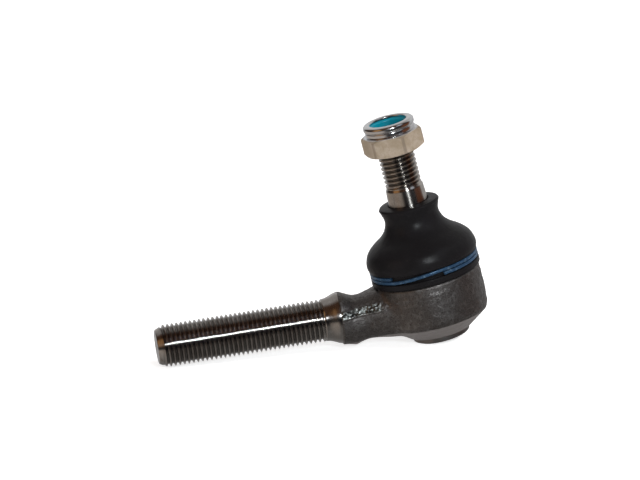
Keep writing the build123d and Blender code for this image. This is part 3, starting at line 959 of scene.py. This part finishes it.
PIECES = [
    # piece, the body it rides on, the node it stands for, the record's material slot
    (forged_body(), "socket", "housing", "forged_steel"),
    (shank(), "socket", "housing", "forged_steel"),
    (cap(), "socket", "closing_cap", "cap_steel"),
    (clamp_ring(), "socket", "boot_clamp_ring", "blue_ring"),
    (stud(), "stud", "ball_stud", "stud_steel"),
    (nut(), "nut", "lock_nut", "plated_nut"),
    (insert(), "nut_lift", "nylon_insert", "nylon"),
]
for piece, body, node, slot in PIECES:
    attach(piece, body)
    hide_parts(node)

rubber_boot = boot()
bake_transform(rubber_boot)
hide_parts("dust_boot")

CARRIED_OVER = {
    "upper_ball_seat": PLASTIC,
    "lower_ball_seat": PLASTIC,
    "preload_spring": SPRING_STEEL,
    "boot_neck_ring": SPRING_STEEL,
}
for node, material in CARRIED_OVER.items():
    mesh = frame["nodes"][node].data
    mesh.materials.clear()
    mesh.materials.append(material)


# ---------------------------------------------------------------- floor, light and camera

# The part lies on its closing cap and on the underside of its last thread ridge
LAST_RIDGE = SHANK_END - 3
CAP_REST = Vector((0, 0, cap_low.z))
SHANK_REST = shank_axis * LAST_RIDGE - Vector((shank_axis.z, 0, -shank_axis.x)) * SHANK_CREST
floor_along = (CAP_REST - SHANK_REST).normalized()


def studio_floor():
    """A wide plain floor under the part. Gloss on the part shows the surround and not the floor."""
    half_width = 4.0  # metres
    across = Vector((0, 1, 0))
    signs = ((-1, -1), (1, -1), (1, 1), (-1, 1))
    corners = [CAP_REST * MM + (floor_along * x + across * y) * half_width for x, y in signs]
    mesh = bpy.data.meshes.new("floor")
    mesh.from_pydata(corners, [], [(0, 1, 2, 3)])
    look = Look("floor", Specular_IOR_Level=0.0, Roughness=0.8, Emission_Strength=0.8)
    tone = look.mix(look.noise(400, 2), (0.86, 0.86, 0.86), (0.89, 0.89, 0.89))
    mesh.materials.append(look.finish(Base_Color=tone, Emission_Color=tone))
    floor = bpy.data.objects.new("floor", mesh)
    floor.visible_glossy = False
    bpy.context.scene.collection.objects.link(floor)


def soft_light(name, towards, distance, size, power, mirrored=True, colour=(1, 1, 1)):
    """A square lamp that lies towards a direction from the part's middle. Gloss shows it if mirrored.

    Its distance and size are in metres."""
    aim = Vector((-0.03, 0, 0.02))
    light = bpy.data.lights.new(name, "AREA")
    light.size = size
    light.energy = power
    light.color = colour
    lamp = bpy.data.objects.new(name, light)
    lamp.visible_glossy = mirrored
    direction = Vector(towards).normalized()
    lamp.location = aim + direction * distance
    lamp.rotation_mode = "QUATERNION"
    lamp.rotation_quaternion = direction.to_track_quat("Z", "Y")
    bpy.context.scene.collection.objects.link(lamp)


# The room's colours from the floor to the ceiling, as (sine of the elevation, colour)
CEILING = (0.070, 0.038, 0.024)
NEAR_WALL = (
    (-0.95, (0.16, 0.155, 0.15)),
    (-0.42, (0.13, 0.125, 0.12)),
    (-0.22, (0.008, 0.008, 0.010)),
    (0.33, (0.008, 0.008, 0.011)),
    (0.42, (0.050, 0.020, 0.009)),
    (0.75, (0.060, 0.026, 0.012)),
    (0.95, CEILING),
)
LEFT_WALL = (
    (-0.95, (0.20, 0.19, 0.18)),
    (-0.50, (0.36, 0.325, 0.295)),
    (-0.14, (0.42, 0.37, 0.33)),
    (0.02, (0.05, 0.045, 0.04)),
    (0.30, (0.025, 0.018, 0.014)),
    (0.55, (0.055, 0.026, 0.013)),
    (0.95, CEILING),
)
RIGHT_WALL = (
    (-0.95, (0.16, 0.155, 0.15)),
    (-0.40, (0.14, 0.055, 0.028)),
    (-0.10, (0.13, 0.050, 0.026)),
    (0.10, (0.03, 0.025, 0.025)),
    (0.40, (0.05, 0.045, 0.045)),
    (0.60, (0.06, 0.035, 0.022)),
    (0.95, CEILING),
)
FAR_WALL = (
    (-0.95, (0.16, 0.155, 0.15)),
    (-0.30, (0.42, 0.42, 0.425)),
    (0.00, (0.52, 0.52, 0.53)),
    (0.30, (0.58, 0.58, 0.58)),
    (0.62, (0.42, 0.41, 0.405)),
    (1.0, (0.34, 0.33, 0.325)),
)
# Bright round patches, as (degrees left of the photographer, elevation, radius in degrees, soft edge, colour)
PATCHES = (
    (62, 27, 13, 12, (0.42, 0.225, 0.095)),
    (-52, 36, 8, 8, (0.62, 0.68, 0.78)),
)


def photographer_direction(degrees_left, elevation=0):
    """Unit vector this far left of the photographer and this high, as seen from the part."""
    turn, rise = math.radians(degrees_left), math.radians(elevation)
    level = photographer_side * math.cos(turn) + photographer_left * math.sin(turn)
    return level * math.cos(rise) + Vector((0, 0, math.sin(rise)))


def wall(graph, stops):
    """The room's colour by height."""
    ramp = graph.nodes.new("ShaderNodeValToRGB")
    elements = ramp.color_ramp.elements
    while len(elements) < len(stops):
        elements.new(0.5)
    for element, (height, colour) in zip(elements, stops):
        element.position = (height + 1) / 2
        element.color = (*colour, 1)
    return graph.put(ramp, {"Fac": graph.times(graph.add(graph.height(), 1), 0.5)})


def studio_world():
    """The surround: near black by the photographer, pale behind the part, with a wall on either side."""
    world = bpy.data.worlds.new("studio")
    bpy.context.scene.world = world
    world.use_nodes = True
    graph = NodeGraph(world.node_tree, "Generated")

    def towards(direction, low, high):
        return graph.ramp(graph.along(direction), low, high)

    near = towards(photographer_side, -0.34, 0.12)
    right = towards(photographer_direction(-80), 0.82, 0.96)
    left = towards(photographer_direction(85), 0.34, 0.66)
    room = graph.mix(near, wall(graph, FAR_WALL), wall(graph, NEAR_WALL))
    room = graph.mix(right, room, wall(graph, RIGHT_WALL))
    room = graph.mix(left, room, wall(graph, LEFT_WALL))
    for degrees_left, elevation, radius, edge, colour in PATCHES:
        limits = (math.cos(math.radians(angle)) for angle in (radius + edge, radius))
        room = graph.mix(towards(photographer_direction(degrees_left, elevation), *limits), room, colour)
    background = graph.nodes["Background"]
    graph.links.new(room, background.inputs["Color"])
    background.inputs["Strength"].default_value = 1.0


# The camera stands almost square to the shank, looks down a little, and leans. Its distance is in metres.
CAMERA_AZIMUTH_DEG = -4.2
CAMERA_ELEVATION_DEG = 14.8
CAMERA_ROLL_DEG = -14.5
CAMERA_DISTANCE = 3.0
LENS = 515.0
SENSOR_WIDTH = 36.0
# The ball's centre lies this many millimetres right of the picture's middle and below it
BALL_RIGHT = 37.3
BALL_BELOW = 20.4

camera_turn = (
    Matrix.Rotation(math.radians(CAMERA_AZIMUTH_DEG), 3, "Z")
    @ Matrix.Rotation(math.radians(90 - CAMERA_ELEVATION_DEG), 3, "X")
    @ Matrix.Rotation(math.radians(CAMERA_ROLL_DEG), 3, "Z")
)
camera_right, camera_up, camera_back = camera_turn.col
photographer_side = Vector((camera_back.x, camera_back.y, 0)).normalized()
photographer_left = Vector((photographer_side.y, -photographer_side.x, 0))


def camera():
    """The camera, aimed so that the ball's centre falls where BALL_RIGHT and BALL_BELOW say."""
    data = bpy.data.cameras.new("camera")
    data.lens = LENS
    data.sensor_width = SENSOR_WIDTH
    data.clip_start = 0.05
    data.clip_end = 30
    view = bpy.data.objects.new("camera", data)
    target = (camera_up * BALL_BELOW - camera_right * BALL_RIGHT) * MM
    view.matrix_world = Matrix.Translation(target + camera_back * CAMERA_DISTANCE) @ camera_turn.to_4x4()
    bpy.context.scene.collection.objects.link(view)
    bpy.context.scene.camera = view


bpy.context.scene.view_settings.view_transform = "Standard"
studio_floor()
studio_world()
flash_side = camera_back + camera_up * 0.16 + camera_right * 0.20
left_side = photographer_left + photographer_side * 0.35 + Vector((0, 0, 0.35))
soft_light("flash", flash_side, 0.9, 0.10, 3.7, colour=(0.9, 0.96, 1))
soft_light("overhead", (1, -0.45, 0.8), 1.2, 0.7, 11, mirrored=False)
soft_light("left", left_side, 1.1, 0.5, 4, mirrored=False)
camera()
